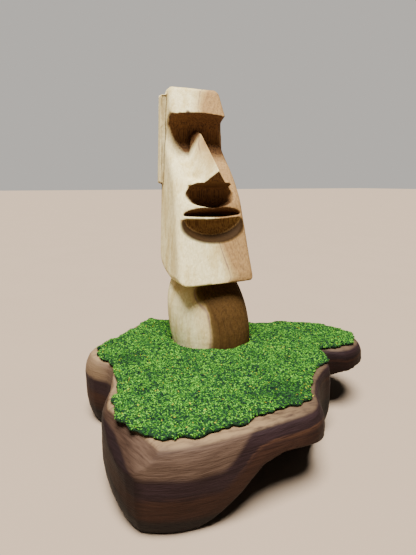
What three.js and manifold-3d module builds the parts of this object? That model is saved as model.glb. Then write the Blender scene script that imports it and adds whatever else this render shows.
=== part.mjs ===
// A hand-carved moai head of pale wood standing on a walnut island with a flocked green top.
// Millimetres, +Z up. The face looks along -Y and the head is symmetric about X = 0.
// The origin is on the island's flat underside, straight below the middle of the figure's foot.

import * as THREE from 'three';
import { LoftGeometry } from 'three/addons/geometries/LoftGeometry.js';
import { ConvexGeometry } from 'three/addons/geometries/ConvexGeometry.js';
import { mergeVertices } from 'three/addons/utils/BufferGeometryUtils.js';
import Module from 'manifold-3d';

// Driving dimensions

const figureHeight = 112.6;
const islandLength = 128;
const islandDepth = 115.5;
const islandThickness = 29;
const turfThickness = 2;
const footClearance = 0.3;
const shoulderHeight = 8;
const shoulderInset = 4.2;
const undersideTuck = 3.4;
const toothDepth = 2.3;
const toothPitch = 5.5;

// The island's plan is drawn at one size and stretched to its length and depth

const drawnPlan = [ 128, 115.5 ];
const planScale = [ islandLength / drawnPlan[ 0 ], islandDepth / drawnPlan[ 1 ], 1 ];

// The island's outline at its widest, front edge first, running counter-clockwise.
// Each point has its place and the width of bare wood between it and the turf.

const islandOutline = [
	[ - 44, - 72.8, 5 ], [ - 34, - 74.6, 5.5 ], [ - 18, - 74.8, 7 ], [ - 4, - 74.5, 7.5 ], [ 6, - 73.5, 7 ],
	[ 11.5, - 70, 6.5 ], [ 16.5, - 62, 4.5 ], [ 23, - 54, 4.5 ], [ 29.5, - 49.5, 4 ], [ 34.4, - 46.8, 3.5 ],
	[ 36.6, - 42.5, 3 ], [ 38, - 37.5, 3 ], [ 41.6, - 34.6, 3 ], [ 45.4, - 36.4, 4 ], [ 49.6, - 38.8, 4.5 ],
	[ 57, - 38, 4.5 ], [ 64, - 33.6, 4.5 ], [ 69, - 25, 4.5 ],
	[ 69.5, - 14, 5 ], [ 64, - 5, 5 ], [ 55, 2, 5 ], [ 44, 7, 5 ],
	[ 34, 12, 5 ], [ 25, 21, 5 ], [ 15, 29, 5 ], [ 2, 33, 5 ], [ - 9, 37, 5 ], [ - 18, 40.5, 5 ],
	[ - 27, 36, 5 ], [ - 33, 27, 5 ], [ - 41, 22, 6 ], [ - 50, 17, 6 ], [ - 55, 8, 5.5 ],
	[ - 54, - 2, 4.5 ], [ - 48.5, - 10, 3 ], [ - 49, - 18, 3.5 ], [ - 53, - 27, 4.5 ],
	[ - 57, - 37, 5 ], [ - 58, - 48, 4.5 ], [ - 57.6, - 56, 5 ], [ - 56, - 63.6, 6 ], [ - 54, - 67.6, 7 ],
	[ - 50.6, - 70, 7 ],
];

// The lines inside the island that its lobes are gathered round

const islandSpines = [
	[ [ 0, - 18 ], [ - 38, - 50 ] ],
	[ [ - 38, - 50 ], [ - 2, - 56 ] ],
	[ [ 0, - 18 ], [ 36, - 30 ] ],
	[ [ 36, - 30 ], [ 58, - 20 ] ],
	[ [ 0, - 18 ], [ - 38, 6 ] ],
	[ [ 0, - 18 ], [ - 14, 22 ] ],
	[ [ - 2, - 56 ], [ 0, - 18 ] ],
];

// The hollow cut up under the front edge: its height at places along X, as cut at the front face,
// and the share of that height left at places further in

const frontHollowRise = [
	[ - 38, 0 ], [ - 31, 4.5 ], [ - 23, 11 ], [ - 15.5, 18 ],
	[ - 8, 20 ], [ 6, 19 ], [ 24, 17.5 ], [ 38, 11 ],
];
const frontHollowReach = [
	[ - 92, 1.12 ], [ - 75, 1 ], [ - 66, 0.86 ], [ - 58, 0.6 ], [ - 51, 0.28 ], [ - 46, 0 ],
];

// The hollow under the far right lobe: its middle, reach along X and Y, height and turn

const lobeHollow = { middle: [ 62, - 36 ], reach: [ 34, 32 ], height: 21, turn: 30 };

const outlineSamples = 104;
const turfSamples = 240;

const wasm = await Module();
wasm.setup();

// Solids

function asSolid( geometry ) {

	const plain = new THREE.BufferGeometry().copy( geometry );
	plain.deleteAttribute( 'normal' );
	plain.deleteAttribute( 'uv' );
	const merged = mergeVertices( plain, 1e-4 );
	const corners = merged.index.array;
	const kept = [];

	for ( let i = 0; i < corners.length; i += 3 ) {

		const [ a, b, c ] = [ corners[ i ], corners[ i + 1 ], corners[ i + 2 ] ];
		if ( a !== b && b !== c && c !== a ) kept.push( a, b, c );

	}

	return new wasm.Manifold( new wasm.Mesh( {
		numProp: 3,
		vertProperties: new Float32Array( merged.attributes.position.array ),
		triVerts: new Uint32Array( kept ),
	} ) );

}

function asGeometry( solid ) {

	const { vertProperties, triVerts, numProp } = solid.getMesh();
	const positions = [];

	for ( let i = 0; i < vertProperties.length; i += numProp ) {

		positions.push( vertProperties[ i ], vertProperties[ i + 1 ], vertProperties[ i + 2 ] );

	}

	const geometry = new THREE.BufferGeometry();
	geometry.setAttribute( 'position', new THREE.Float32BufferAttribute( positions, 3 ) );
	geometry.setIndex( Array.from( triVerts ) );
	geometry.computeVertexNormals();
	return geometry;

}

function ellipsoid( middle, radii ) {

	const geometry = new THREE.SphereGeometry( 1, 36, 18 );
	geometry.scale( ...radii );
	geometry.translate( ...middle );
	return asSolid( geometry );

}

// A solid whose section, drawn in Y and Z, changes along X

function barAlongX( from, to, steps, sectionAt ) {

	const sections = [];

	for ( let i = 0; i <= steps; i ++ ) {

		const x = from + ( to - from ) * i / steps;
		sections.push( sectionAt( x ).map( ( [ y, z ] ) => new THREE.Vector3( x, y, z ) ) );

	}

	return asSolid( new LoftGeometry( sections, { capStart: true, capEnd: true } ) );

}

function trim( solid, ...cutters ) {

	return cutters.reduce( ( left, cutter ) => left.subtract( cutter ), solid );

}

// The figure, laid out on a grid of steps, with its crown at the last one

const crownStep = 112.6;
const grid = figureHeight / crownStep;
const onGrid = ( ...values ) => values.map( ( value ) => value * grid );

function halfWidth( y, z ) {

	const [ atFoot, perHeight, perDepth ] = [ 19.4, - 0.06, - 0.03 ];
	return atFoot * grid + perHeight * z + perDepth * y;

}

function sideProfile() {

	const jaw = [ [ 1, 29.8 ], [ 9, 32 ], [ 14.6, 34.8 ], [ 17.6, 38.2 ], [ 18.8, 44 ], [ 19.6, 56 ] ];
	const cheek = [
		[ 10.8, 98.4 ], [ 12.6, 95.6 ], [ 13, 91.6 ], [ 10.8, 86.6 ], [ 7.2, 82 ], [ 3.2, 77 ],
		[ - 0.4, 71 ], [ - 3.2, 65 ], [ - 5, 58.5 ], [ - 7.6, 50 ], [ - 11.2, 37 ],
	];
	const crown = [
		[ 20.1, 104 ], [ 20, crownStep - 2.6 ], [ 17.8, crownStep - 0.2 ],
		[ 14.6, crownStep ], [ 12, crownStep - 1.4 ],
	];
	const [ chin, brow ] = [ [ - 13, 30 ], [ 6.2, 101.1 ] ];
	const points = ( list ) => list.map( ( pair ) => new THREE.Vector2( ...onGrid( ...pair ) ) );
	const shape = new THREE.Shape();
	shape.moveTo( ...onGrid( ...chin ) );
	shape.lineTo( ...onGrid( ...jaw[ 0 ] ) );
	shape.splineThru( points( jaw.slice( 1 ) ) );
	for ( const corner of [ ...crown, brow, cheek[ 0 ] ] ) shape.lineTo( ...onGrid( ...corner ) );
	shape.splineThru( points( cheek.slice( 1 ) ) );
	return shape.extractPoints( 3 ).shape;

}

// A closed outline drawn in by one distance along its whole edge

function drawnIn( points, distance ) {

	return points.map( ( point, i ) => {

		const before = points[ ( i + points.length - 1 ) % points.length ];
		const after = points[ ( i + 1 ) % points.length ];
		const into = point.clone().sub( before ).normalize();
		const out = after.clone().sub( point ).normalize();
		const bisector = new THREE.Vector2( - into.y - out.y, into.x + out.x ).normalize();
		const lean = bisector.x * - into.y + bisector.y * into.x;
		return point.clone().addScaledVector( bisector, distance / lean );

	} );

}

// The head is its side profile drawn out sideways, narrower at the crown, with rounded long edges.
// Across its width the face is a little crowned, the lips stand forward and the brow is arched.

function headBlock() {

	const [ edgeRound, crowning, browArch, lipSwell ] = onGrid( 3, 0.9, 1.3, 2.7 );
	const middle = halfWidth( 0, figureHeight / 2 );
	const profile = sideProfile();
	const roundSteps = [ 0, 22.5, 45, 67.5 ];
	const rounded = roundSteps.map( ( degrees ) => {

		const angle = THREE.MathUtils.degToRad( 90 - degrees );
		const inset = edgeRound * ( 1 - Math.cos( angle ) );
		return [ 1 - edgeRound * ( 1 - Math.sin( angle ) ) / middle, inset ];

	} );
	const flat = [ 0.84, 0.67, 0.5, 0.33, 0.12 ].map( ( share ) => [ share, 0 ] );
	const stations = [
		...rounded.map( ( [ share, inset ] ) => [ - share, inset ] ),
		...flat.map( ( [ share, inset ] ) => [ - share, inset ] ),
		...flat.toReversed(),
		...rounded.toReversed(),
	];
	const sectionAt = ( [ share, inset ] ) => drawnIn( profile, inset ).map( ( { x: y, y: z } ) => {

		const frontness = THREE.MathUtils.clamp( ( 14 * grid - y ) / ( 10 * grid ), 0, 1 );
		const nearBrow = Math.exp( - ( ( ( z / grid - 100 ) / 5 ) ** 2 ) );
		const nearLips = Math.exp( - ( ( ( z / grid - 60.5 ) / 6.5 ) ** 2 ) );
		const swell = crowning + lipSwell * nearLips;
		return new THREE.Vector3(
			share * halfWidth( y, z ),
			y - swell * frontness * ( 1 - share * share ),
			z - browArch * nearBrow * frontness * share * share,
		);

	} );
	const sections = stations.map( sectionAt );
	return asSolid( new LoftGeometry( sections, { capStart: true, capEnd: true } ) );

}

// A rounded section of the neck, a little longer towards the right front than across it

const neckSkew = 0.085;
const skewTowards = THREE.MathUtils.degToRad( - 51 );

function neckSection( z, middle, half, front, back ) {

	const [ count, power ] = [ 40, 2.35 ];
	const points = [];

	for ( let i = 0; i < count; i ++ ) {

		const angle = 2 * Math.PI * i / count;
		const [ c, s ] = [ Math.cos( angle ), Math.sin( angle ) ];
		const x = half * Math.sign( c ) * Math.abs( c ) ** ( 2 / power );
		const y = ( back - front ) / 2 * Math.sign( s ) * Math.abs( s ) ** ( 2 / power );
		const skew = 1 + neckSkew * Math.cos( 2 * ( Math.atan2( y, x ) - skewTowards ) );
		points.push( new THREE.Vector3( middle + x * skew, ( front + back ) / 2 + y * skew, z ) );

	}

	return points;

}

// The neck swells a little above its foot and leans back under the jaw.
// Each row is a rise, the middle and half the width, and the front and back edges.

const neckRows = [
	[ 0, 1.1, 16.7, - 16, 13.4 ], [ 2, 1, 16.9, - 16, 13.6 ], [ 6, 0.8, 17.3, - 15.8, 14 ],
	[ 11, 0.5, 17.5, - 15, 14.4 ], [ 16, 0.2, 17.3, - 13.8, 14.8 ], [ 21, - 0.1, 16.7, - 11.8, 15 ],
	[ 26, - 0.2, 15.4, - 8.8, 15 ], [ 30, 0, 14, - 5.6, 14.8 ], [ 36, 0, 11.5, - 2, 14.4 ],
].map( ( row ) => onGrid( ...row ) );

function neck() {

	const rises = neckRows.map( ( [ rise ] ) => rise );
	const shapes = neckRows.flatMap( ( [ , ...shape ] ) => shape );
	const between = new THREE.CubicInterpolant( rises, shapes, 4 );
	const steps = 15;
	const sections = Array.from( { length: steps + 1 }, ( _, i ) => {

		const rise = rises.at( - 1 ) * i / steps;
		return neckSection( rise, ...between.evaluate( rise ) );

	} );
	return asSolid( new LoftGeometry( sections, { capStart: true, capEnd: true } ) );

}

function nose() {

	const corners = [
		[ 0, - 12.1, 76.6 ], [ 0, 5.8, 92.6 ],
		[ 5.6, - 7.1, 71.3 ], [ 7.6, 2, 69.5 ], [ 2.6, 12, 92.4 ], [ 6.4, 6, 80 ], [ 0, 12, 95 ],
	];
	const mirrored = corners.map( ( [ x, y, z ] ) => [ - x, y, z ] );
	const points = [ ...corners, ...mirrored ].map( ( p ) => new THREE.Vector3( ...onGrid( ...p ) ) );
	return asSolid( new ConvexGeometry( points ) );

}

function nostrilWings() {

	const corners = [
		[ 4.2, - 7.4, 71.6 ], [ 7, - 6.9, 72.2 ], [ 8.4, - 6, 71.8 ],
		[ 9.4, - 4.6, 70.8 ], [ 9.6, - 1.6, 71.2 ], [ 8.6, 1.8, 74 ],
		[ 5.8, 3.2, 75.6 ], [ 3, 4, 77 ], [ 3, 5, 69 ], [ 8.8, 4, 69 ], [ 3, - 4, 69.5 ],
	];

	const wing = ( side ) => asSolid( new ConvexGeometry(
		corners.map( ( [ x, y, z ] ) => new THREE.Vector3( ...onGrid( side * x, y, z ) ) ),
	) );

	return wing( 1 ).add( wing( - 1 ) );

}

// The hollow under the nose, stopped above by the underside of the nostrils

function noseHollow() {

	const hollow = ellipsoid( onGrid( 0, - 4.6, 67.2 ), onGrid( 11.7, 6.3, 5.8 ) );
	const [ innerHeight, outerHeight ] = [ 69.1, 72.4 ];
	const above = barAlongX( ...onGrid( - 20, 20 ), 1, () => [
		onGrid( 6, innerHeight ), onGrid( 6, 90 ), onGrid( - 20, 90 ), onGrid( - 20, outerHeight + 2.3 ),
	] );
	return hollow.subtract( above );

}

// The open mouth: a wedge between the upper lip's underside and the ledge of the lower lip

const [ mouthReach, mouthHeight, mouthDrop ] = onGrid( 13.3, 58.4, 0.6 );

function mouthSag( x ) {

	return mouthDrop * ( 1 - ( x / mouthReach ) ** 2 );

}

function mouthWedge() {

	const [ face, lips, ends, deep, slit ] = onGrid( - 13, - 4.9, 0.15, 2.9, 0.25 );
	return barAlongX( - mouthReach, mouthReach, 16, ( x ) => {

		const slitY = lips + ends + deep * Math.sqrt( Math.max( 0, 1 - ( x / mouthReach ) ** 2 ) );
		const slitZ = mouthHeight - mouthSag( x );
		return [
			[ slitY, slitZ ],
			[ slitY, slitZ + slit ],
			[ face, slitZ + slit + 0.72 * ( slitY - face ) ],
			[ face, slitZ ],
		];

	} );

}

// The half-moon scoop below the lower lip, whose thin edge is left standing

function lipScoop() {

	const [ lipEdge, inside, outside, top ] = onGrid( 0.95, 4, - 20, 80 );
	const scoop = ellipsoid( onGrid( 0, - 9.2, 57 ), onGrid( 15.4, 6.2, 9.2 ) );
	const above = barAlongX( ...onGrid( - 20, 20 ), 16, ( x ) => {

		const edge = mouthHeight - mouthSag( x ) - lipEdge;
		return [ [ inside, edge ], [ inside, top ], [ outside, top ], [ outside, edge ] ];

	} );
	return scoop.subtract( above );

}

// A long flat ear strip near the back of each side; the left one stands out more at its top

function ears() {

	const [ proud, flare, sunk, front, back, low, high ] = onGrid( 1.3, 0.9, 1.5, 15.4, 19.7, 71.8, 109.4 );

	const strip = ( side ) => {

		const geometry = new THREE.BoxGeometry( 1, back - front, high - low, 1, 2, 6 );
		geometry.translate( 0, ( front + back ) / 2, ( low + high ) / 2 );
		const { position } = geometry.attributes;

		for ( let i = 0; i < position.count; i ++ ) {

			const [ across, y, z ] = [ position.getX( i ), position.getY( i ), position.getZ( i ) ];
			const outer = proud + ( side < 0 ? flare : 0 ) * ( z - low ) / ( high - low );
			const reach = halfWidth( y, z ) + ( side * across > 0 ? outer : - sunk );
			position.setX( i, side * reach );

		}

		return asSolid( geometry );

	};

	return strip( 1 ).add( strip( - 1 ) );

}

function moai() {

	const carved = trim(
		headBlock().add( nose() ).add( nostrilWings() ),
		noseHollow(), mouthWedge(), lipScoop(),
	);
	return carved.add( ears() ).add( neck() );

}

// The island

function nearestOnSpines( x, y ) {

	let best = { distance: Infinity };

	for ( const [ [ ax, ay ], [ bx, by ] ] of islandSpines ) {

		const [ dx, dy ] = [ bx - ax, by - ay ];
		const t = THREE.MathUtils.clamp( ( ( x - ax ) * dx + ( y - ay ) * dy ) / ( dx * dx + dy * dy ), 0, 1 );
		const [ px, py ] = [ ax + t * dx, ay + t * dy ];
		const distance = Math.hypot( x - px, y - py );
		if ( distance < best.distance ) best = { distance, px, py };

	}

	return best;

}

function sampleOutline( count ) {

	const knots = islandOutline.map( ( [ x, y, rim ] ) => new THREE.Vector3( x, y, rim ) );
	const curve = new THREE.CatmullRomCurve3( knots, true, 'centripetal' );
	return curve.getSpacedPoints( count ).slice( 0, count );

}

// The outline drawn in towards the middle of its lobe, at one height

function outlineRing( samples, z, insetAt ) {

	return samples.map( ( sample, index ) => {

		const { distance, px, py } = nearestOnSpines( sample.x, sample.y );
		const share = insetAt( sample, index ) / distance;
		return new THREE.Vector3(
			sample.x + ( px - sample.x ) * share,
			sample.y + ( py - sample.y ) * share,
			z,
		);

	} );

}

function frontHollow() {

	const below = - 5;
	const sections = frontHollowRise.map( ( [ x, rise ] ) => {

		const roof = frontHollowReach.map( ( [ y, share ] ) => (
			new THREE.Vector3( x, y, below + ( rise - below ) * share )
		) );
		return [ ...roof, new THREE.Vector3( x, roof[ 0 ].y, below - 1 ) ].reverse();

	} );
	return asSolid( new LoftGeometry( sections, { capStart: true, capEnd: true } ) );

}

function underLobeHollow() {

	const { middle, reach, height, turn } = lobeHollow;
	const geometry = new THREE.SphereGeometry( 1, 32, 16 );
	geometry.scale( ...reach, height );
	geometry.rotateZ( THREE.MathUtils.degToRad( turn ) );
	geometry.translate( ...middle, 0 );
	return asSolid( geometry );

}

function cornerFacet() {

	const size = 60;
	const geometry = new THREE.BoxGeometry( size, size, size );
	geometry.translate( 0, 0, size / 2 );
	const upward = new THREE.Vector3( 0, 0, 1 );
	const outward = new THREE.Vector3( - 0.66, - 0.2, 0.72 ).normalize();
	geometry.applyQuaternion( new THREE.Quaternion().setFromUnitVectors( upward, outward ) );
	geometry.translate( - 49.6, - 58.6, islandThickness - 0.5 );
	return asSolid( geometry );

}

function island() {

	const samples = sampleOutline( outlineSamples );
	const shoulderStart = islandThickness - shoulderHeight;
	const rows = [
		[ 0, undersideTuck ], [ 1, undersideTuck * 0.78 ], [ 3.2, undersideTuck * 0.48 ],
		[ 6.5, undersideTuck * 0.18 ], [ 11, 0.1 ], [ 16, 0 ],
		...[ 0, 30, 52, 70, 90 ].map( ( degrees ) => {

			const angle = THREE.MathUtils.degToRad( degrees );
			const inset = shoulderInset * ( 1 - Math.cos( angle ) ) + 0.1;
			return [ shoulderStart + shoulderHeight * Math.sin( angle ), inset ];

		} ),
	];
	const sections = rows.map( ( [ z, inset ] ) => outlineRing( samples, z, () => inset ) );
	const slab = asSolid( new LoftGeometry( sections, { capStart: true, capEnd: true } ) );
	return trim( slab, frontHollow(), underLobeHollow(), cornerFacet() ).scale( planScale );

}

// The turf: a thin flocked layer with a toothed edge, open round the figure's foot

function toothAt( index, perimeter ) {

	const run = index / turfSamples * perimeter / toothPitch;
	const saw = Math.abs( ( run + 0.35 * Math.sin( run * 2.1 ) ) % 1 - 0.45 ) * 1.8;
	const drift = 0.5 * Math.sin( run * 0.9 + 1.3 ) + 0.35 * Math.sin( run * 2.7 );
	return toothDepth * ( saw - 0.5 + drift * 0.6 );

}

function turf() {

	const samples = sampleOutline( turfSamples );
	const perimeter = samples.reduce( ( sum, p, i ) => {

		const next = samples[ ( i + 1 ) % samples.length ];
		return sum + Math.hypot( next.x - p.x, next.y - p.y );

	}, 0 );
	const rows = [ [ 0, 0.4 ], [ 0.45, 0 ], [ 0.8, 0.25 ], [ 1, 0.9 ] ];
	const sections = rows.map( ( [ share, inset ] ) => outlineRing(
		samples,
		islandThickness + turfThickness * share,
		( sample, index ) => sample.z + inset + toothAt( index, perimeter ),
	) );
	const sheet = asSolid( new LoftGeometry( sections, { capStart: true, capEnd: true } ) );
	const [ , ...foot ] = neckRows[ 1 ];
	const [ low, high ] = [ islandThickness - 1, islandThickness + turfThickness + 1 ];
	const opening = [ low, high ].map( ( z ) => neckSection(
		z,
		foot[ 0 ],
		foot[ 1 ] + footClearance,
		foot[ 2 ] - footClearance,
		foot[ 3 ] + footClearance,
	) );
	const cut = asSolid( new LoftGeometry( opening, { capStart: true, capEnd: true } ) );
	return sheet.scale( planScale ).subtract( cut );

}

// The object

function piece( name, geometry, color, roughness ) {

	const material = new THREE.MeshStandardMaterial( { color, roughness, metalness: 0 } );
	const mesh = new THREE.Mesh( geometry, material );
	mesh.name = name;
	return mesh;

}

const carving = new THREE.Group();
const figure = piece( 'moai', asGeometry( moai() ), 0xd9c79a, 0.55 );
figure.position.z = islandThickness;
carving.add(
	piece( 'island_base', asGeometry( island() ), 0x5a3c2a, 0.5 ),
	piece( 'turf', asGeometry( turf() ), 0x3f7d2c, 0.95 ),
	figure,
);

export default carving;
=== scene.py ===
"""A hand-carved moai head of pale wood on a walnut island with a flocked green top.

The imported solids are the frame. Each of the three pieces gets a finely meshed body made from
its own solid, with softened edges and tool marks, and the turf gets its fibres. The sizes of
pieces and patterns are in millimetres, and those of the studio in metres.
"""

import logging
import math
from collections.abc import Callable, Sequence
from dataclasses import dataclass, field
from enum import Enum

import bmesh
import bpy
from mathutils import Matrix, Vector, noise
from mathutils.bvhtree import BVHTree


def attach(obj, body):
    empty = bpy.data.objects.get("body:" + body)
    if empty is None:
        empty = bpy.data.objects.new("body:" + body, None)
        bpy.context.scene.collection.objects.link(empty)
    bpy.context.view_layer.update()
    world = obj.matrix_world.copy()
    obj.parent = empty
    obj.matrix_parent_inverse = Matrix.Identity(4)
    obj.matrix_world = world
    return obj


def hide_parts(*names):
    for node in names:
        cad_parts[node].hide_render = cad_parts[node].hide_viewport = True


MM = 0.001
Colour = tuple[float, float, float]
Place = tuple[float, float, float]
Span = tuple[float, float]
Socket = bpy.types.NodeSocket

log = logging.getLogger("moai")


# Shader building


class Blend(Enum):
    """How a second colour is laid over a first."""

    MIX = "MIX"
    MULTIPLY = "MULTIPLY"


class Layout:
    """Lays out the nodes of one tree."""

    def __init__(self, tree: bpy.types.NodeTree) -> None:
        """Empties the tree.

        Args:
            tree: The tree.
        """
        self.tree = tree
        self.tree.nodes.clear()

    def node(self, kind: str, inputs: dict, **settings: object) -> bpy.types.Node:
        """Adds one node.

        Args:
            kind: The node's type name.
            inputs: Values or sockets for its inputs, by name or number.
            settings: Its other properties.

        Returns:
            The new node.
        """
        made = self.tree.nodes.new(kind)
        for key, value in settings.items():
            setattr(made, key, value)
        for key, value in inputs.items():
            if isinstance(value, bpy.types.NodeSocket):
                self.tree.links.new(value, made.inputs[key])
            else:
                made.inputs[key].default_value = value
        return made


class Board(Layout):
    """Lays out the nodes of one material, whose patterns are drawn in millimetres."""

    def __init__(self, name: str) -> None:
        """Starts an empty material.

        Args:
            name: The material's name.
        """
        self.material = bpy.data.materials.new(name)
        self.material.use_nodes = True
        super().__init__(self.material.node_tree)
        self.shader = self.node("ShaderNodeBsdfPrincipled", {})
        output = self.node("ShaderNodeOutputMaterial", {})
        self.tree.links.new(self.shader.outputs["BSDF"], output.inputs["Surface"])
        place = self.node("ShaderNodeTexCoord", {}).outputs["Object"]
        self.place = self.node(
            "ShaderNodeVectorMath", {0: place, "Scale": 1 / MM}, operation="SCALE"
        ).outputs["Vector"]
        split = self.node("ShaderNodeSeparateXYZ", {0: self.place})
        self.x, self.y, self.z = split.outputs

    def math(self, operation: str, *values: Socket | float) -> Socket:
        """One step of arithmetic.

        Args:
            operation: The Math node's operation.
            values: Its inputs in order.

        Returns:
            The result.
        """
        return self.node("ShaderNodeMath", dict(enumerate(values)), operation=operation).outputs[0]

    def total(self, *values: Socket | float) -> Socket:
        """Adds up.

        Args:
            values: The numbers.

        Returns:
            Their sum.
        """
        result = values[0]
        for value in values[1:]:
            result = self.math("ADD", result, value)
        return result

    def product(self, *values: Socket | float) -> Socket:
        """Multiplies.

        Args:
            values: The numbers.

        Returns:
            Their product.
        """
        result = values[0]
        for value in values[1:]:
            result = self.math("MULTIPLY", result, value)
        return result

    def swing(self, pattern: Socket, width: float) -> Socket:
        """A pattern from 0 to 1 turned into one that swings round 0.

        Args:
            pattern: The pattern.
            width: How far its ends are then apart.

        Returns:
            The swinging pattern.
        """
        return self.product(self.math("SUBTRACT", pattern, 0.5), width)

    def vector(self, operation: str, place: Socket, other: Place) -> bpy.types.Node:
        """One step of arithmetic on a place.

        Args:
            operation: The Vector Math node's operation.
            place: The place.
            other: What it is set against.

        Returns:
            The node.
        """
        return self.node("ShaderNodeVectorMath", {0: place, 1: other}, operation=operation)

    def distance(self, point: Place) -> Socket:
        """How far the surface is from a point, in millimetres."""
        return self.vector("DISTANCE", self.place, point).outputs["Value"]

    def stretched(self, reach: Place, place: Socket) -> Socket:
        """The place divided by a reach along each axis.

        Args:
            reach: Millimetres along X, Y and Z that count as 1.
            place: The place in millimetres.

        Returns:
            The stretched place.
        """
        inverse = tuple(1 / value for value in reach)
        return self.vector("MULTIPLY", place, inverse).outputs["Vector"]

    def cloud(self, reach: Place, detail: float) -> Socket:
        """Soft noise between 0 and 1.

        Args:
            reach: The size of its features along X, Y and Z in millimetres.
            detail: How many finer layers it has.

        Returns:
            The noise value.
        """
        at = self.stretched(reach, self.place)
        return self.node(
            "ShaderNodeTexNoise", {"Vector": at, "Scale": 1.0, "Detail": detail}
        ).outputs["Fac"]

    def ramped(self, value: Socket, low: float, high: float) -> Socket:
        """A soft step from 0 at low to 1 at high.

        Args:
            value: The number that is stepped.
            low: Where the step is 0.
            high: Where it is 1.

        Returns:
            The step.
        """
        if low < high:
            return self.node(
                "ShaderNodeMapRange",
                {"Value": value, "From Min": low, "From Max": high},
                interpolation_type="SMOOTHSTEP",
            ).outputs["Result"]
        return self.math("SUBTRACT", 1.0, self.ramped(value, high, low))

    def band(self, value: Socket, middle: float, width: float) -> Socket:
        """1 on a line and 0 away from it.

        Args:
            value: The number that is tested.
            middle: Where the line is.
            width: How far it reaches to each side.

        Returns:
            The line's strength.
        """
        off = self.math("ABSOLUTE", self.math("SUBTRACT", value, middle))
        return self.ramped(off, width, 0.0)

    def over(
        self, share: Socket | float, under: Socket | Colour, above: Socket | Colour,
        blend: Blend = Blend.MIX,
    ) -> Socket:
        """Lays one colour over another.

        Args:
            share: How much of the upper colour shows.
            under: The lower colour.
            above: The upper colour.
            blend: How it is laid.

        Returns:
            The mixed colour.
        """
        opaque = [(*c, 1.0) if isinstance(c, tuple) else c for c in (under, above)]
        return self.node(
            "ShaderNodeMix",
            {"Factor": share, 6: opaque[0], 7: opaque[1]},
            data_type="RGBA",
            blend_type=blend.value,
        ).outputs[2]

    def stops(self, value: Socket, colours: Sequence[tuple[float, Colour]]) -> Socket:
        """Colours laid along a number from 0 to 1.

        Args:
            value: The number.
            colours: Each colour with its place.

        Returns:
            The colour at the value.
        """
        made = self.node("ShaderNodeValToRGB", {"Fac": value})
        elements = made.color_ramp.elements
        while len(elements) < len(colours):
            elements.new(1.0)
        for element, (place, colour) in zip(elements, colours):
            element.position = place
            element.color = (*colour, 1.0)
        return made.outputs["Color"]

    def attribute(self, name: str) -> Socket:
        """A number kept on the mesh."""
        return self.node("ShaderNodeAttribute", {}, attribute_name=name).outputs["Fac"]

    def finish(
        self, colour: Socket, relief: Socket, depth: float, **numbers: float
    ) -> bpy.types.Material:
        """Joins colour and relief to the shader.

        Args:
            colour: The base colour.
            relief: The height of the fine relief, about 0 to 1.
            depth: What a relief of 1 stands for, in millimetres.
            numbers: Uniform values of the shader, by socket name with _ for a space.

        Returns:
            The finished material.
        """
        bump = self.node(
            "ShaderNodeBump", {"Height": relief, "Distance": depth * MM, "Strength": 1.0}
        )
        self.tree.links.new(colour, self.shader.inputs["Base Color"])
        self.tree.links.new(bump.outputs["Normal"], self.shader.inputs["Normal"])
        for name, value in numbers.items():
            self.shader.inputs[name.replace("_", " ")].default_value = value
        return self.material


# Finishes


@dataclass
class Grain:
    """The patterns that the layers of the pale wood's colour share."""

    out: Socket
    late: Socket
    fibre: Socket
    patch: Socket
    mottle: Socket


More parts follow.
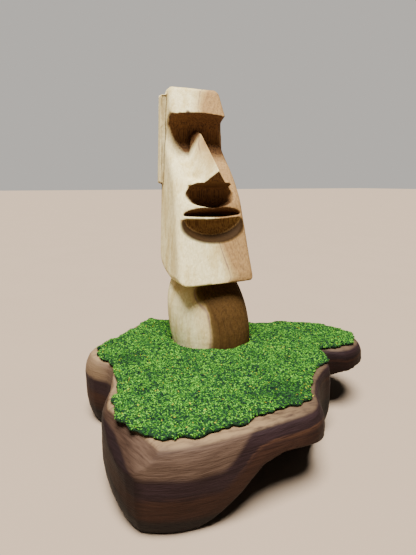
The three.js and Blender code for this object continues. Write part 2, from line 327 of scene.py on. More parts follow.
@dataclass(frozen=True)
class PaleWood:
    """Pale sapwood with a brown heartwood zone round a pith inside the right side, and painted
    shade in the face's recesses.
    """

    sap: Colour = (0.90, 0.80, 0.46)
    sap_shade: Colour = (0.62, 0.48, 0.20)
    gold: Colour = (0.48, 0.33, 0.135)
    heart: Colour = (0.32, 0.185, 0.075)
    streak: Colour = (0.13, 0.07, 0.04)
    foot_shade: Colour = (0.21, 0.18, 0.13)
    vein: Colour = (0.17, 0.105, 0.10)
    # Painted shade, multiplied into the hollows that the piece shuts in.
    recess: Colour = (0.22, 0.12, 0.05)
    # Painted shade under the brow, the nose and the lip, darkest where the lamp reaches the scoop.
    painted_shade: Colour = (0.135, 0.066, 0.026)
    painted_shade_streak: Colour = (0.055, 0.027, 0.015)
    lip_painted_shade: Colour = (0.032, 0.0165, 0.0062)
    lip_shade: Colour = (0.29, 0.17, 0.058)
    knot: Colour = (0.07, 0.035, 0.022)
    mottle_shade: Colour = (0.62, 0.55, 0.45)

    drift_reach: Place = (9.0, 9.0, 45.0)
    fibre_reach: Place = (0.45, 0.45, 10.0)
    patch_reach: Place = (4.0, 4.0, 17.0)
    mottle_reach: Place = (1.1, 1.1, 1.7)
    pith: Span = (15.0, 0.7)
    pith_drift: float = 6.0
    ring_pitch: float = 1.45
    ring_sharpness: float = 2.5
    ring_share: float = 0.16
    fibre_step: Span = (0.35, 0.75)
    fibre_share: float = 0.35
    patch_step: Span = (0.4, 0.7)
    patch_share: float = 0.6

    heart_reach: float = 16.5
    gold_edge: Span = (5.0, -1.0)
    gold_share: float = 0.9
    heart_edge: Span = (0.6, -2.0)
    heart_fray: float = 0.8
    heart_share: float = 0.85
    streak_rings: float = 0.2
    streak_step: Span = (0.5, 0.74)
    streak_share: float = 0.62
    foot_growth: float = 8.0
    foot_growth_span: Span = (62.0, 55.0)
    foot_shade_span: Span = (64.0, 54.0)
    foot_edge: Span = (1.0, -1.0)

    vein_place: float = 0.3
    vein_width: float = 0.55
    vein_step: Span = (0.3, 0.55)
    vein_share: float = 0.75
    nose_middle: float = 112.0
    nose_width: float = 18.0
    nose_front: Span = (4.0, 0.0)

    # Where the painted shade under overhangs and in the lip's scoop lies.
    painted_shade_step: Span = (0.42, 0.66)
    lip_middle: Place = (0.0, -9.2, 86.0)
    lip_reach: Place = (15.4, 6.2, 9.2)
    lip_edge: Span = (1.16, 1.02)
    lip_edge_power: float = 0.4
    lip_top: Span = (86.35, 86.0)
    lip_lean: float = 0.15
    lip_inward: Span = (6.4, 7.2)

    ear_line: float = 14.95
    ear_line_width: float = 0.8
    ear_span: Span = (100.5, 138.0)
    ear_fade: float = 1.0
    ear_side: Span = (10.0, 11.0)
    knot_at: Place = (-6.0, 6.3, 130.0)
    knot_edge: Span = (1.5, 0.5)
    knot_share: float = 0.9
    mottle_step: Span = (0.35, 0.7)
    mottle_share: float = 0.32
    mottle_relief: float = 0.9
    relief_depth: float = 0.16
    roughness: float = 0.7
    gloss: float = 0.05

    def material(self) -> bpy.types.Material:
        """The material, drawn round the pith and along the blank.

        Returns:
            The finished material.
        """
        board = Board("pale_wood")
        grain = self.grain(board)
        colour = self.sapwood(board, grain)
        colour = self.heartwood(board, grain, colour)
        colour = self.dark_vein(board, grain, colour)
        # Painted shade in the recesses and in the scoop below the lip.
        colour = self.painted_recess_shade(board, grain, colour)
        colour = self.marked(board, colour)
        mottled = board.product(board.ramped(grain.mottle, *self.mottle_step), self.mottle_share)
        colour = board.over(mottled, colour, self.mottle_shade, Blend.MULTIPLY)
        # Painted shade in the hollows, stronger the more a point is shut in.
        colour = board.over(board.attribute("recess"), colour, self.recess, Blend.MULTIPLY)
        relief = board.total(grain.fibre, board.product(grain.mottle, self.mottle_relief))
        return board.finish(
            colour, relief, self.relief_depth,
            Roughness=self.roughness, Specular_IOR_Level=self.gloss,
        )

    def grain(self, board: Board) -> Grain:
        """Draws the distance out from the pith, the rings and the finer patterns.

        Args:
            board: The material's board.

        Returns:
            The patterns.
        """
        across, along = (
            board.math("POWER", board.math("ABSOLUTE", board.math("SUBTRACT", value, middle)), 2.0)
            for value, middle in zip((board.x, board.y), self.pith)
        )
        out = board.total(
            board.math("SQRT", board.math("ADD", across, along)),
            board.swing(board.cloud(self.drift_reach, detail=3), self.pith_drift),
            board.product(board.ramped(board.z, *self.foot_growth_span), -self.foot_growth),
        )
        ring = board.math("FRACT", board.math("DIVIDE", out, self.ring_pitch))
        return Grain(
            out=out,
            late=board.math("POWER", ring, self.ring_sharpness),
            fibre=board.cloud(self.fibre_reach, detail=4),
            patch=board.cloud(self.patch_reach, detail=3),
            mottle=board.cloud(self.mottle_reach, detail=2),
        )

    def within_heart(self, board: Board, out: Socket, edge: Span) -> Socket:
        """How far a place lies within the heart zone.

        Args:
            board: The material's board.
            out: The distance out from the pith.
            edge: Where the zone begins and is full, measured from the heart's reach.

        Returns:
            A share from 0 to 1.
        """
        return board.ramped(out, *(self.heart_reach + offset for offset in edge))

    def sapwood(self, board: Board, grain: Grain) -> Socket:
        """The pale wood of the outside, darker in late rings, fibres and patches.

        Args:
            board: The material's board.
            grain: The shared patterns.

        Returns:
            The colour.
        """
        darker = board.total(
            board.product(grain.late, self.ring_share),
            board.product(board.ramped(grain.fibre, *self.fibre_step), self.fibre_share),
            board.product(board.ramped(grain.patch, *self.patch_step), self.patch_share),
        )
        return board.over(darker, self.sap, self.sap_shade)

    def heartwood(self, board: Board, grain: Grain, colour: Socket) -> Socket:
        """Lays the golden edge, the brown heart and its darker foot over the sapwood; the foot's
        darkness is partly heartwood and partly painted shade below the chin.

        Args:
            board: The material's board.
            grain: The shared patterns.
            colour: The colour so far.

        Returns:
            The colour with this layer on it.
        """
        golden = self.within_heart(board, grain.out, self.gold_edge)
        colour = board.over(board.product(golden, self.gold_share), colour, self.gold)
        frayed = board.total(grain.out, board.product(grain.mottle, self.heart_fray))
        inner = self.within_heart(board, frayed, self.heart_edge)
        streaked = board.total(grain.fibre, board.product(grain.late, self.streak_rings))
        streaked = board.product(board.ramped(streaked, *self.streak_step), self.streak_share)
        brown = board.over(streaked, self.heart, self.streak)
        colour = board.over(board.product(inner, self.heart_share), colour, brown)
        # The darker foot: partly the heartwood's own colour, partly painted shade below the chin.
        foot = board.product(
            board.ramped(board.z, *self.foot_shade_span),
            self.within_heart(board, grain.out, self.foot_edge),
        )
        return board.over(foot, colour, self.foot_shade, Blend.MULTIPLY)

    def dark_vein(self, board: Board, grain: Grain, colour: Socket) -> Socket:
        """Lays the thin dark line between heart and sapwood, faint on the nose.

        Args:
            board: The material's board.
            grain: The shared patterns.
            colour: The colour so far.

        Returns:
            The colour with this layer on it.
        """
        line = board.product(
            board.band(grain.out, self.heart_reach + self.vein_place, self.vein_width),
            board.ramped(grain.patch, *self.vein_step),
        )
        nose = board.product(
            board.band(board.z, self.nose_middle, self.nose_width),
            board.ramped(board.y, *self.nose_front),
        )
        line = board.product(line, board.math("SUBTRACT", self.vein_share, nose))
        return board.over(line, colour, self.vein)

    def painted_recess_shade(self, board: Board, grain: Grain, colour: Socket) -> Socket:
        """Lays painted shade, in brown, in the recesses covered from above and in the scoop below
        the lip.

        Args:
            board: The material's board.
            grain: The shared patterns.
            colour: The colour so far.

        Returns:
            The colour with this layer on it.
        """
        streaks = board.ramped(grain.fibre, *self.painted_shade_step)
        sheltered = board.over(streaks, self.painted_shade, self.painted_shade_streak)
        # Painted shade under the brow and the nose, by the share kept in the shelter attribute.
        colour = board.over(board.attribute("shelter"), colour, sheltered)
        from_lip = board.vector("SUBTRACT", board.place, self.lip_middle).outputs["Vector"]
        from_lip = board.node(
            "ShaderNodeVectorMath", {0: board.stretched(self.lip_reach, from_lip)},
            operation="LENGTH",
        ).outputs["Value"]
        scoop = board.product(
            board.math("POWER", board.ramped(from_lip, *self.lip_edge), self.lip_edge_power),
            board.ramped(board.z, *self.lip_top),
        )
        # Painted shade in the scoop: where the lamp reaches it the colour is darker than where it
        # lies in real shadow, so both read as shade.
        inward = board.total(board.y, board.product(board.z, self.lip_lean))
        lip = board.over(
            board.ramped(inward, *self.lip_inward), self.lip_painted_shade,
            board.over(streaks, self.lip_shade, self.painted_shade),
        )
        return board.over(scoop, colour, lip)

    def marked(self, board: Board, colour: Socket) -> Socket:
        """Lays the painted shade of the groove in front of each ear strip, and the knot on the
        brow.

        Args:
            board: The material's board.
            colour: The colour so far.

        Returns:
            The colour with this layer on it.
        """
        low, high = self.ear_span
        ear = board.product(
            board.ramped(board.z, low - self.ear_fade, low),
            board.ramped(board.z, high, high - self.ear_fade),
            board.ramped(board.math("ABSOLUTE", board.x), *self.ear_side),
            board.band(board.y, self.ear_line, self.ear_line_width),
        )
        # Painted shade: a dark line along the groove in front of each ear strip.
        colour = board.over(ear, colour, self.painted_shade_streak)
        spot = board.ramped(board.distance(self.knot_at), *self.knot_edge)
        return board.over(board.product(spot, self.knot_share), colour, self.knot)


@dataclass(frozen=True)
class Walnut:
    """Dark slab wood whose layers lie nearly level and climb along the front and at the left."""

    tan: Colour = (0.080, 0.049, 0.033)
    dark: Colour = (0.020, 0.010, 0.011)
    mid: Colour = (0.029, 0.012, 0.007)
    amber: Colour = (0.13, 0.058, 0.025)
    deep: Colour = (0.008, 0.005, 0.005)
    # Paler dry wood of the rim, also laid on the left lobe's upper half as painted light.
    dry_and_painted_light: Colour = (0.24, 0.158, 0.082)
    # Painted shade on the right side below the rim and on the left near the front.
    far_shade: Colour = (0.30, 0.22, 0.18)
    grain_shade: Colour = (0.55, 0.5, 0.48)
    pore_shade: Colour = (0.45, 0.4, 0.4)

    warp_reach: Place = (17.0, 17.0, 9.0)
    warp: float = 3.2
    grain_reach: Place = (9.0, 9.0, 0.55)
    grain_swing: float = 2.6
    grain_step: Span = (0.35, 0.75)
    pore_reach: Place = (2.6, 2.6, 0.3)
    pore_step: Span = (0.55, 0.8)
    pore_share: float = 0.5
    front_edge: float = 74.0
    front_slope: float = -0.03
    front_climb: float = 9.5
    front_climb_span: Span = (-31.0, -15.0)
    left_middle: float = 50.0
    left_bow: float = 0.1
    left_climb: float = 7.0
    left_climb_span: Span = (-51.0, -58.0)

    band_top: float = 20.0
    band_top_edge: Span = (-1.0, 1.3)
    band_foot: float = 13.6
    band_foot_edge: Span = (1.6, -1.6)
    deep_span: Span = (8.0, 4.5)
    amber_above: float = 0.6
    amber_width: float = 1.0
    amber_span: Span = (-30.0, -8.0)
    amber_share: float = 0.4

    right_span: Span = (-8.0, 22.0)
    right_top: Span = (28.6, 25.0)
    left_shade_span: Span = (-49.0, -53.0)
    left_shade_back: Span = (-24.0, -34.0)
    left_shade_share: float = 0.7
    dry_span: Span = (27.9, 28.9)
    dry_reach: Place = (4.0, 1.2, 2.0)
    dry_step: Span = (0.1, 0.65)
    dry_share: float = 0.75
    dry_loss: float = 0.45
    dry_loss_span: Span = (-20.0, 10.0)
    # Where the painted light on the left lobe's upper half lies.
    stub_side: Span = (-46.0, -52.0)
    stub_front: Span = (-32.0, -26.0)
    stub_share: float = 0.4
    grain_relief: float = 0.7
    relief_depth: float = 0.14
    roughness: float = 0.65
    gloss: float = 0.12

    def material(self) -> bpy.types.Material:
        """The material, drawn on the height above the slab's underside.

        Returns:
            The finished material.
        """
        board = Board("walnut")
        bowed = board.product(
            board.math("ABSOLUTE", board.total(board.y, self.left_middle)), self.left_bow
        )
        leftward = board.total(board.x, bowed)
        layer = self.layer(board, leftward)
        grain = board.cloud(self.grain_reach, detail=3)
        pores = board.cloud(self.pore_reach, detail=2)
        rough = board.total(layer, board.swing(grain, self.grain_swing))
        upper = board.ramped(rough, *(self.band_top + offset for offset in self.band_top_edge))
        colour = self.bands(board, layer, rough, upper)
        grained = board.ramped(grain, *self.grain_step)
        colour = board.over(grained, colour, self.grain_shade, Blend.MULTIPLY)
        pored = board.product(board.ramped(pores, *self.pore_step), self.pore_share)
        colour = board.over(pored, colour, self.pore_shade, Blend.MULTIPLY)
        colour = self.shaded(board, leftward, colour)
        colour = self.dry_rim_and_painted_light(board, upper, colour)
        relief = board.total(board.product(grain, self.grain_relief), pores)
        return board.finish(
            colour, relief, self.relief_depth,
            Roughness=self.roughness, Specular_IOR_Level=self.gloss,
        )

    def layer(self, board: Board, leftward: Socket) -> Socket:
        """The height at which a place lay before the layers were bent.

        Args:
            board: The material's board.
            leftward: The place along X, bowed with the slab's left side.

        Returns:
            The height in millimetres.
        """
        front = board.product(board.ramped(board.x, *self.front_climb_span), self.front_climb)
        left = board.product(board.ramped(leftward, *self.left_climb_span), self.left_climb)
        return board.total(
            board.z, board.product(front, -1.0), board.product(left, -1.0),
            board.product(board.total(board.y, self.front_edge), self.front_slope),
            board.swing(board.cloud(self.warp_reach, detail=2), self.warp),
        )

    def bands(self, board: Board, layer: Socket, rough: Socket, upper: Socket) -> Socket:
        """The tan top, the dark band, its amber seam and the brown foot.

        Args:
            board: The material's board.
            layer: The unbent height.
            rough: The same height, ruffled by the grain.
            upper: Where the tan top is.

        Returns:
            The colour.
        """
        colour = board.over(upper, self.dark, self.tan)
        low = board.over(board.ramped(layer, *self.deep_span), self.mid, self.deep)
        foot = board.ramped(rough, *(self.band_foot + offset for offset in self.band_foot_edge))
        colour = board.over(foot, colour, low)
        seam = board.product(
            board.band(rough, self.band_foot + self.amber_above, self.amber_width),
            board.ramped(board.x, *self.amber_span), self.amber_share,
        )
        return board.over(seam, colour, self.amber)

    def shaded(self, board: Board, leftward: Socket, colour: Socket) -> Socket:
        """Paints shade on the right side below the rim and on the left side near the front.

        Args:
            board: The material's board.
            leftward: The place along X, bowed with the slab's left side.
            colour: The colour so far.

        Returns:
            The colour with this layer on it.
        """
        right = board.product(
            board.ramped(board.x, *self.right_span), board.ramped(board.z, *self.right_top)
        )
        left = board.product(
            board.ramped(leftward, *self.left_shade_span),
            board.ramped(board.y, *self.left_shade_back), self.left_shade_share,
        )
        both = board.math("MAXIMUM", right, left)
        return board.over(both, colour, self.far_shade, Blend.MULTIPLY)

    def dry_rim_and_painted_light(self, board: Board, upper: Socket, colour: Socket) -> Socket:
        """Lays the paler, dry wood of the rim, and painted light on the left lobe's upper half.

        Args:
            board: The material's board.
            upper: Where the tan top is.
            colour: The colour so far.

        Returns:
            The colour with this layer on it.
        """
        rim = board.product(
            board.ramped(board.z, *self.dry_span),
            board.ramped(board.cloud(self.dry_reach, detail=3), *self.dry_step),
            board.math(
                "SUBTRACT", self.dry_share,
                board.product(board.ramped(board.x, *self.dry_loss_span), self.dry_loss),
            ),
        )
        colour = board.over(rim, colour, self.dry_and_painted_light)
        # Painted light: the left lobe's upper half laid over in the paler colour.
        stub = board.product(
            board.ramped(board.x, *self.stub_side), board.ramped(board.y, *self.stub_front),
            upper, self.stub_share,
        )
        return board.over(stub, colour, self.dry_and_painted_light)


@dataclass(frozen=True)
class Flock:
    """Matt green flock in mixed shades, from near black to yellow."""

    shades: tuple[tuple[float, Colour], ...] = (
        (0.0, (0.001, 0.005, 0.005)),
        (0.25, (0.004, 0.024, 0.010)),
        (0.5, (0.020, 0.105, 0.012)),
        (0.75, (0.056, 0.215, 0.016)),
        (1.0, (0.130, 0.360, 0.022)),
    )
    yellow: Colour = (0.33, 0.32, 0.008)
    mat: Colour = (0.002, 0.008, 0.005)
    mat_speck: Colour = (0.008, 0.035, 0.010)
    patch_shade: Colour = (0.16, 0.28, 0.42)

    clump_reach: Place = (1.9, 1.9, 1.9)
    clump_swing: float = 0.8
    tint_floor: float = 0.06
    tint_share: float = 0.98
    yellow_step: Span = (0.990, 0.993)
    patch_reach: Place = (9.0, 9.0, 9.0)
    patch_step: Span = (0.45, 0.7)
    patch_strength: float = 0.45
    patch_share: float = 0.8
    patch_core: float = 0.3
    dark_patches: tuple[tuple[Place, float], ...] = (
        ((3.0, -60.0, 31.0), 13.0), ((-40.0, -9.5, 31.0), 9.0),
    )
    nap_reach: Place = (0.4, 0.4, 0.4)
    nap_depth: float = 0.02
    fibre_roughness: float = 0.7
    fibre_gloss: float = 0.12
    speck_reach: Place = (0.8, 0.8, 0.8)
    mat_depth: float = 0.3
    mat_roughness: float = 0.9
    mat_gloss: float = 0.2

    def fibres(self) -> bpy.types.Material:
        """The fibres' material, coloured by each fibre's own tint.

        Returns:
            The finished material.
        """
        board = Board("flock_turf")
        clump = board.swing(board.cloud(self.clump_reach, detail=2), self.clump_swing)
        tint = board.attribute("tint")
        mixed = board.total(self.tint_floor, board.product(tint, self.tint_share), clump)
        colour = board.stops(mixed, self.shades)
        patch = board.ramped(board.cloud(self.patch_reach, detail=2), *self.patch_step)
        patch = board.product(patch, self.patch_strength)
        for middle, reach in self.dark_patches:
            near = board.ramped(board.distance(middle), reach, self.patch_core * reach)
            patch = board.math("MAXIMUM", patch, near)
        patch = board.product(patch, self.patch_share)
        colour = board.over(patch, colour, self.patch_shade, Blend.MULTIPLY)
        colour = board.over(board.ramped(tint, *self.yellow_step), colour, self.yellow)
        return board.finish(
            colour, board.cloud(self.nap_reach, detail=1), self.nap_depth,
            Roughness=self.fibre_roughness, Specular_IOR_Level=self.fibre_gloss,
        )

    def ground(self) -> bpy.types.Material:
        """The mat's material below the fibres.

        Returns:
            The finished material.
        """
        board = Board("flock_mat")
        speck = board.cloud(self.speck_reach, detail=3)
        colour = board.over(speck, self.mat, self.mat_speck)
        return board.finish(
            colour, speck, self.mat_depth,
            Roughness=self.mat_roughness, Specular_IOR_Level=self.mat_gloss,
        )


# Meshes made from the solids

SEAM = 0.001  # points of a solid closer than this are one point, in millimetres
LIFT = 0.3  # how far above the surface a look round starts, in millimetres
LOOK_TURNS = (0.4, 1.66, 2.92, 4.17, 5.43)  # the ways that the looks lean, in radians
LOOK_LEAN = 0.9  # how far each leans, as a share of its rise along the normal
AXIS_ALONG_X = Vector((1.0, 0.0, 0.0)).rotation_difference(Vector((0.0, 0.0, 1.0))).to_matrix()


def settled(piece: bpy.types.Object) -> None:
    """Turns an object's modifiers into its mesh.

    Args:
        piece: The object.
    """
    graph = bpy.context.evaluated_depsgraph_get()
    mesh = bpy.data.meshes.new_from_object(piece.evaluated_get(graph))
    piece.modifiers.clear()
    piece.data = mesh
    mesh.name = piece.name


def dense_copy(node: str, name: str, voxel: float, rounds: int) -> bpy.types.Object:
    """A fine, even mesh in the shape of a solid, with its edges a little softened.

    Args:
        node: The solid's node.
        name: The new piece's name.
        voxel: The mesh's step in millimetres.
        rounds: How often it is smoothed.

    Returns:
        The new piece.
    """
    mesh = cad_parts[node].data.copy()
    shape = bmesh.new()
    shape.from_mesh(mesh)
    bmesh.ops.remove_doubles(shape, verts=shape.verts, dist=SEAM * MM)
    shape.to_mesh(mesh)
    shape.free()
    mesh.materials.clear()
    piece = bpy.data.objects.new(name, mesh)
    bpy.context.scene.collection.objects.link(piece)
    remesh = piece.modifiers.new("remesh", "REMESH")
    remesh.mode = "VOXEL"
    remesh.voxel_size = voxel * MM
    remesh.use_smooth_shade = True
    smooth = piece.modifiers.new("smooth", "SMOOTH")
    smooth.factor = 0.5
    smooth.iterations = rounds
    settled(piece)
    return piece


def worked(piece: bpy.types.Object, height_at: Callable[[Vector, Vector], float]) -> None:
    """Moves each point of a piece along its normal.

    Args:
        piece: The piece.
        height_at: Gives millimetres from a place in millimetres and a normal.
    """
    mesh = piece.data
    normals = [vertex.normal.copy() for vertex in mesh.vertices]
    for vertex, normal in zip(mesh.vertices, normals):
        vertex.co += normal * (height_at(vertex.co / MM, normal) * MM)
    mesh.update()


def within_one(value: float) -> float:
    """A number held between 0 and 1."""
    return min(1.0, max(0.0, value))


def note(piece: bpy.types.Object, name: str, values: Sequence[float]) -> None:
    """Keeps one number per point on a mesh."""
    kept = piece.data.attributes.new(name, "FLOAT", "POINT")
    kept.data.foreach_set("value", values)


def enclosure(piece: bpy.types.Object, reach: float) -> list[float]:
    """How far each point is shut in by the piece itself.

    Args:
        piece: The piece.
        reach: How far away a wall still counts, in millimetres.

    Returns:
        A share from 0 to 1 for each point.
    """
    mesh = piece.data
    tree = BVHTree.FromObject(piece, bpy.context.evaluated_depsgraph_get())
    leans = [Vector((math.cos(turn), math.sin(turn), 0.0)) * LOOK_LEAN for turn in LOOK_TURNS]
    shares = []
    for vertex in mesh.vertices:
        normal = vertex.normal
        side = normal.orthogonal().normalized()
        other = normal.cross(side)
        start = vertex.co + normal * (LIFT * MM)
        met = 0.0
        for lean in leans:
            ray = (normal + side * lean.x + other * lean.y).normalized()
            distance = tree.ray_cast(start, ray, reach * MM)[3]
            if distance is not None:
                met += 1.0 - distance / (reach * MM)
        shares.append(met / len(leans))
    return shares


def shelter(piece: bpy.types.Object, upward: Sequence[Vector], reach: float) -> list[float]:
    """How far each point is covered from above by the piece itself.

    Args:
        piece: The piece.
        upward: The directions that are tried.
        reach: How far away an overhang still counts, in millimetres.

    Returns:
        A share from 0 to 1 for each point.
    """
    tree = BVHTree.FromObject(piece, bpy.context.evaluated_depsgraph_get())
    shares = []
    for vertex in piece.data.vertices:
        start = vertex.co + vertex.normal * (LIFT * MM)
        covered = sum(
            vertex.normal.dot(ray) < 0.0 or tree.ray_cast(start, ray, reach * MM)[3] is not None
            for ray in upward
        )
        shares.append(covered / len(upward))
    return shares


def registered(piece: bpy.types.Object, node: str | None = None) -> bpy.types.Object:
    """Fixes a piece to the object's one body.

    Args:
        piece: The piece.
        node: The solid that it stands for, if it does.

    Returns:
        The piece.
    """
    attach(piece, "root")
    if node:
        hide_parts(node)
    log.info("%s: %d faces", piece.name, len(piece.data.polygons))
    return piece


# The pieces


@dataclass
class Figure:
    """The carved head and neck, with the marks of knife and sanding and shade painted into its
    recesses.
    """

    voxel: float = 0.43
    softening: int = 3
    waver: float = 0.22
    waver_reach: float = 13.0
    waver_rise: float = 0.6
    nick: float = 0.05
    nick_reach: float = 1.8
    nick_rise: float = 0.45
    groove_depth: float = 0.45
    groove_width: float = 0.45
    groove_at: float = 15.1
    groove_side: float = 11.0
    groove_span: Span = PaleWood.ear_span
    # The painted shade in hollows: how far a wall counts and how strong it gets.
    recess_reach: float = 8.0
    recess_depth: float = 1.2
    # The painted shade under overhangs: how far they count and the ways looked up.
    cover_reach: float = 22.0
    cover_leans: tuple[Span, ...] = (
        (-0.3, -0.1), (-0.2, -0.05), (-0.12, -0.16), (-0.25, -0.2),
        (0.0, -0.1), (-0.05, 0.0), (-0.4, 0.0),
    )
    # Where the painted shade of the face's recesses stops, at the foot and at the back.
    painted_shade_foot: float = 70.0
    painted_shade_foot_fade: float = 6.0
    painted_shade_back: float = 19.0
    painted_shade_back_fade: float = 2.0
    lip_low: float = 85.9
    lip_high: float = 87.9
    lip_corner: float = -4.5
    lip_bow: float = 3.2
    lip_span: float = 17.5
    finish: PaleWood = field(default_factory=PaleWood)

    def tool_mark(self, place: Vector, normal: Vector) -> float:
        """The knife's marks.

        Args:
            place: A point of the surface, in millimetres.
            normal: The way it faces; not used.

        Returns:
            How far it is moved outward, in millimetres.
        """
        slow = noise.noise(Vector((place.x, place.y, place.z * self.waver_rise)) / self.waver_reach)
        quick = noise.noise(Vector((place.x, place.y, place.z * self.nick_rise)) / self.nick_reach)
        return self.waver * slow + self.nick * quick - self.groove_depth * self.groove(place)

    def groove(self, place: Vector) -> float:
        """The line in front of each ear strip.

        Args:
            place: A point of the surface, in millimetres.

        Returns:
            How deep in the line it lies, from 0 to 1.
        """
        low, high = self.groove_span
        if abs(place.x) < self.groove_side or not low < place.z < high:
            return 0.0
        return math.exp(-(((place.y - self.groove_at) / self.groove_width) ** 2))

    def painted_shade(self, place: Vector, covered: float) -> float:
        """How strongly the painted shade of the face's recesses shows, from 0 to 1.

        Args:
            place: A point of the surface, in millimetres.
            covered: How far it is covered from above.

        Returns:
            The painted shade's share.
        """
        lip_front = self.lip_corner - self.lip_bow * (1.0 - (place.x / self.lip_span) ** 2)
        if self.lip_low < place.z < self.lip_high and place.y < lip_front:
            return 0.0
        above = within_one((place.z - self.painted_shade_foot) / self.painted_shade_foot_fade)
        before = within_one((self.painted_shade_back - place.y) / self.painted_shade_back_fade)
        return above * before * covered

    def build(self) -> bpy.types.Object:
        """The finished figure.

        Returns:
            The piece.
        """
        piece = dense_copy("moai", "carved_moai", self.voxel, self.softening)
        worked(piece, self.tool_mark)
        # Painted shade in the hollows, from how far each point is shut in.
        shut = enclosure(piece, self.recess_reach)
        note(piece, "recess", [min(1.0, self.recess_depth * share) for share in shut])
        # Painted shade under overhangs, from how far each point is covered from above.
        upward = [Vector((x, y, 1.0)).normalized() for x, y in self.cover_leans]
        covered = shelter(piece, upward, self.cover_reach)
        shade_shares = [
            self.painted_shade(vertex.co / MM, share)
            for vertex, share in zip(piece.data.vertices, covered)
        ]
        note(piece, "shelter", shade_shares)
        piece.data.materials.append(self.finish.material())
        return registered(piece, "moai")


@dataclass
class Slab:
    """The walnut island with its shaped edge."""

    voxel: float = 0.62
    softening: int = 1
    facet: float = 0.35
    facet_reach: float = 9.0
    scrape: float = 0.06
    scrape_run: float = 0.3
    scrape_rise: float = 1.4
    drawn_in: float = 0.1
    finish: Walnut = field(default_factory=Walnut)

    def tool_mark(self, place: Vector, normal: Vector) -> float:
        """The rasp's marks on the slab's upright sides.

        Args:
            place: A point of the surface, in millimetres.
            normal: The way it faces.

        Returns:
            How far it is moved outward, in millimetres.
        """
        upright = max(0.0, 1.0 - abs(normal.z))
        slow = noise.noise(place / self.facet_reach)
        run, rise = self.scrape_run, self.scrape_rise
        quick = noise.noise(Vector((place.x * run, place.y * run, place.z * rise)))
        return upright * (self.facet * slow + self.scrape * quick - self.drawn_in)

    def build(self) -> bpy.types.Object:
        """The finished slab.

        Returns:
            The piece.
        """
        piece = dense_copy("island_base", "walnut_island", self.voxel, self.softening)
        worked(piece, self.tool_mark)
        piece.data.materials.append(self.finish.material())
        return registered(piece, "island_base")


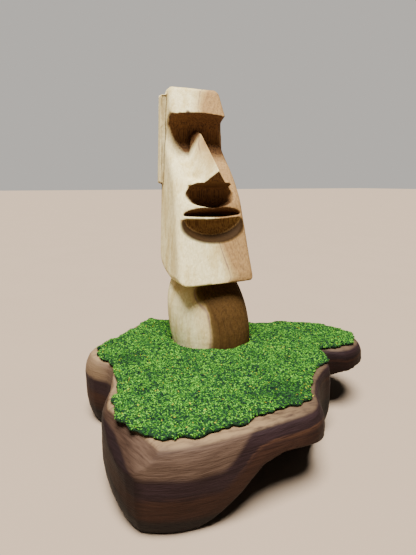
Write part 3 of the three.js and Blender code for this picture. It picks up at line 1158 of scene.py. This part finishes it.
@dataclass
class Turf:
    """The flocked mat and its loose fibres."""

    voxel: float = 0.8
    softening: int = 1
    swell: float = 0.8
    swell_reach: float = 8.5
    swell_slice: float = 3.0
    ruffle: float = 0.25
    ruffle_reach: float = 2.2
    ruffle_slice: float = 7.0
    sunk: float = 0.15
    least_rise: float = 0.3
    fibre_length: float = 1.35
    fibre_width: float = 0.5
    fibre_flatness: float = 0.6
    fibre_lean: Span = (0.5, 0.55)
    fibre_least: Place = (0.6, 0.7, 0.8)
    fibre_most: Place = (1.3, 1.3, 1.3)
    fibre_ground: float = 0.45
    fibres_per_mm2: float = 2.2
    first_seed: int = 20
    seed_step: int = 10
    layers: tuple[str, ...] = ("turf_fibres_low", "turf_fibres_high")
    finish: Flock = field(default_factory=Flock)

    def hump(self, place: Vector, normal: Vector) -> float:
        """The mat's swells and ruffles.

        Args:
            place: A point of the surface, in millimetres.
            normal: The way it faces.

        Returns:
            How far it is moved outward, in millimetres.
        """
        if normal.z < self.least_rise:
            return 0.0
        slow = noise.noise(Vector((place.x, place.y, self.swell_slice)) / self.swell_reach)
        quick = noise.noise(Vector((place.x, place.y, self.ruffle_slice)) / self.ruffle_reach)
        return normal.z * (self.swell * slow + self.ruffle * quick) - self.sunk

    def fibre(self) -> bpy.types.Object:
        """One fibre: a slim spindle of six faces.

        Returns:
            The fibre, which is not in the scene itself.
        """
        shape = bmesh.new()
        bmesh.ops.create_uvsphere(shape, u_segments=3, v_segments=2, radius=0.5)
        bmesh.ops.rotate(shape, verts=shape.verts, cent=(0, 0, 0), matrix=AXIS_ALONG_X)
        bmesh.ops.scale(
            shape, verts=shape.verts,
            vec=tuple(size * MM for size in (
                self.fibre_length, self.fibre_width, self.fibre_width * self.fibre_flatness,
            )),
        )
        mesh = bpy.data.meshes.new("fibre")
        shape.to_mesh(mesh)
        shape.free()
        return bpy.data.objects.new("fibre", mesh)

    def scattered(
        self, mat: bpy.types.Object, fibre: bpy.types.Object, name: str, seed: int
    ) -> bpy.types.Object:
        """One layer of fibres strewn over the mat.

        Args:
            mat: The mat.
            fibre: The fibre that is strewn.
            name: The layer's name.
            seed: The number that its places come from.

        Returns:
            The layer as one mesh.
        """
        tree = bpy.data.node_groups.new(name, "GeometryNodeTree")
        tree.interface.new_socket("Geometry", in_out="INPUT", socket_type="NodeSocketGeometry")
        tree.interface.new_socket("Geometry", in_out="OUTPUT", socket_type="NodeSocketGeometry")

        add = Layout(tree).node
        start = add("NodeGroupInput", {})
        facing = add("ShaderNodeSeparateXYZ", {0: add("GeometryNodeInputNormal", {}).outputs[0]})
        open_side = add(
            "FunctionNodeCompare", {0: facing.outputs["Z"], 1: self.fibre_ground},
            operation="GREATER_THAN",
        )
        points = add(
            "GeometryNodeDistributePointsOnFaces",
            {"Mesh": start.outputs[0], "Selection": open_side.outputs["Result"],
             "Density": self.fibres_per_mm2 / MM**2, "Seed": seed},
            distribute_method="RANDOM",
        )
        roll, pitch = self.fibre_lean
        turn = add(
            "FunctionNodeRandomValue",
            {"Min": (-roll, -pitch, 0.0), "Max": (roll, pitch, math.tau), "Seed": seed + 1},
            data_type="FLOAT_VECTOR",
        )
        size = add(
            "FunctionNodeRandomValue",
            {"Min": self.fibre_least, "Max": self.fibre_most, "Seed": seed + 2},
            data_type="FLOAT_VECTOR",
        )
        source = add("GeometryNodeObjectInfo", {"Object": fibre})
        strewn = add(
            "GeometryNodeInstanceOnPoints",
            {"Points": points.outputs["Points"], "Instance": source.outputs["Geometry"],
             "Rotation": turn.outputs["Value"], "Scale": size.outputs["Value"]},
        )
        tint = add(
            "FunctionNodeRandomValue", {2: 0.0, 3: 1.0, "Seed": seed + 3}, data_type="FLOAT"
        )
        stored = add(
            "GeometryNodeStoreNamedAttribute",
            {"Geometry": strewn.outputs["Instances"], "Name": "tint", "Value": tint.outputs[1]},
            data_type="FLOAT", domain="INSTANCE",
        )
        whole = add("GeometryNodeRealizeInstances", {"Geometry": stored.outputs["Geometry"]})
        add("NodeGroupOutput", {0: whole.outputs["Geometry"]})

        piece = bpy.data.objects.new(name, mat.data.copy())
        bpy.context.scene.collection.objects.link(piece)
        piece.modifiers.new("strew", "NODES").node_group = tree
        settled(piece)
        return piece

    def build(self) -> list[bpy.types.Object]:
        """The mat and its layers of fibres.

        Returns:
            The pieces, the mat last.
        """
        mat = dense_copy("turf", "turf_mat", self.voxel, self.softening)
        worked(mat, self.hump)
        fibre = self.fibre()
        green = self.finish.fibres()
        made = []
        for index, name in enumerate(self.layers):
            seed = self.first_seed + self.seed_step * index
            layer = self.scattered(mat, fibre, name, seed)
            layer.data.materials.clear()
            layer.data.materials.append(green)
            made.append(registered(layer))
        mat.data.materials.append(self.finish.ground())
        made.append(registered(mat, "turf"))
        return made


# The studio


@dataclass
class Studio:
    """A pale floor, soft lights and the camera, with its places in metres."""

    floor_size: float = 6.0
    floor_colour: Colour = (0.31, 0.232, 0.165)
    floor_cloud: Place = (60.0, 60.0, 60.0)
    floor_dimming: float = 0.93
    floor_relief: float = 0.05
    floor_roughness: float = 0.85
    sky: Colour = (0.60, 0.57, 0.53)
    sky_strength: float = 0.12
    wall_strength: float = 0.95
    key_strength: float = 13.0
    key_softness: float = 28.0
    key_from: Place = (-0.15, -0.25, 1.0)
    key_tint: Colour = (1.0, 0.975, 0.93)
    camera_at: Place = (-0.0776, -0.1675, 0.101)
    pitch: float = 12.8
    heading: float = 25.0
    sensor: float = 36.0
    focal: float = 417.0
    picture_height: float = 555.0
    nearest: float = 0.005
    farthest: float = 20.0

    def floor(self) -> bpy.types.Object:
        """The floor that the object stands on.

        Returns:
            The floor.
        """
        shape = bmesh.new()
        bmesh.ops.create_grid(shape, x_segments=1, y_segments=1, size=self.floor_size)
        mesh = bpy.data.meshes.new("floor")
        shape.to_mesh(mesh)
        shape.free()
        piece = bpy.data.objects.new("floor", mesh)
        bpy.context.scene.collection.objects.link(piece)
        board = Board("pale_floor")
        tone = board.cloud(self.floor_cloud, detail=3)
        darker = tuple(self.floor_dimming * value for value in self.floor_colour)
        colour = board.over(tone, self.floor_colour, darker)
        mesh.materials.append(
            board.finish(colour, tone, self.floor_relief, Roughness=self.floor_roughness)
        )
        return piece

    def key(self) -> None:
        """The one main light, from the left and high above."""
        data = bpy.data.lights.new("overhead", "SUN")
        data.energy = self.key_strength
        data.angle = math.radians(self.key_softness)
        data.color = self.key_tint
        lamp = bpy.data.objects.new("overhead", data)
        lamp.rotation_mode = "QUATERNION"
        lamp.rotation_quaternion = (-Vector(self.key_from)).to_track_quat("-Z", "Y")
        bpy.context.scene.collection.objects.link(lamp)

    def camera(self) -> None:
        """The camera, seeing the object as the photograph does."""
        data = bpy.data.cameras.new("camera")
        data.sensor_width = self.sensor
        data.lens = self.focal / self.picture_height * self.sensor
        data.clip_start = self.nearest
        data.clip_end = self.farthest
        camera = bpy.data.objects.new("camera", data)
        camera.location = self.camera_at
        camera.rotation_euler = (math.radians(90.0 - self.pitch), 0.0, -math.radians(self.heading))
        bpy.context.scene.collection.objects.link(camera)
        bpy.context.scene.camera = camera

    def surroundings(self) -> None:
        """The faint light from all round and the paler tone seen behind the object."""
        world = bpy.data.worlds.new("studio")
        world.use_nodes = True
        add = Layout(world.node_tree).node
        sky = (*self.sky, 1.0)
        fill, behind = (
            add("ShaderNodeBackground", {"Color": sky, "Strength": strength}).outputs[0]
            for strength in (self.sky_strength, self.wall_strength)
        )
        seen = add("ShaderNodeLightPath", {}).outputs["Is Camera Ray"]
        both = add("ShaderNodeMixShader", {0: seen, 1: fill, 2: behind})
        add("ShaderNodeOutputWorld", {"Surface": both.outputs[0]})
        bpy.context.scene.world = world

    def build(self) -> None:
        """The whole studio."""
        self.floor()
        self.key()
        self.surroundings()
        self.camera()


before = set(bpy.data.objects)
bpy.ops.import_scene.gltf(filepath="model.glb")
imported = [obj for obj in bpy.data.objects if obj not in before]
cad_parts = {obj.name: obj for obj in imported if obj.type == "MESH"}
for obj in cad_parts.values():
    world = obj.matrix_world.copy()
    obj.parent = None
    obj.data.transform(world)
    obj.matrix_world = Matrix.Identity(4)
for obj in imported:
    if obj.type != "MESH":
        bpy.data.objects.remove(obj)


def main() -> None:
    """Builds every piece and the studio in order."""
    logging.basicConfig(level=logging.INFO, format="%(name)s: %(message)s")
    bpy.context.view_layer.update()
    Slab().build()
    Turf().build()
    Figure().build()
    Studio().build()


if __name__ == "__main__":
    main()
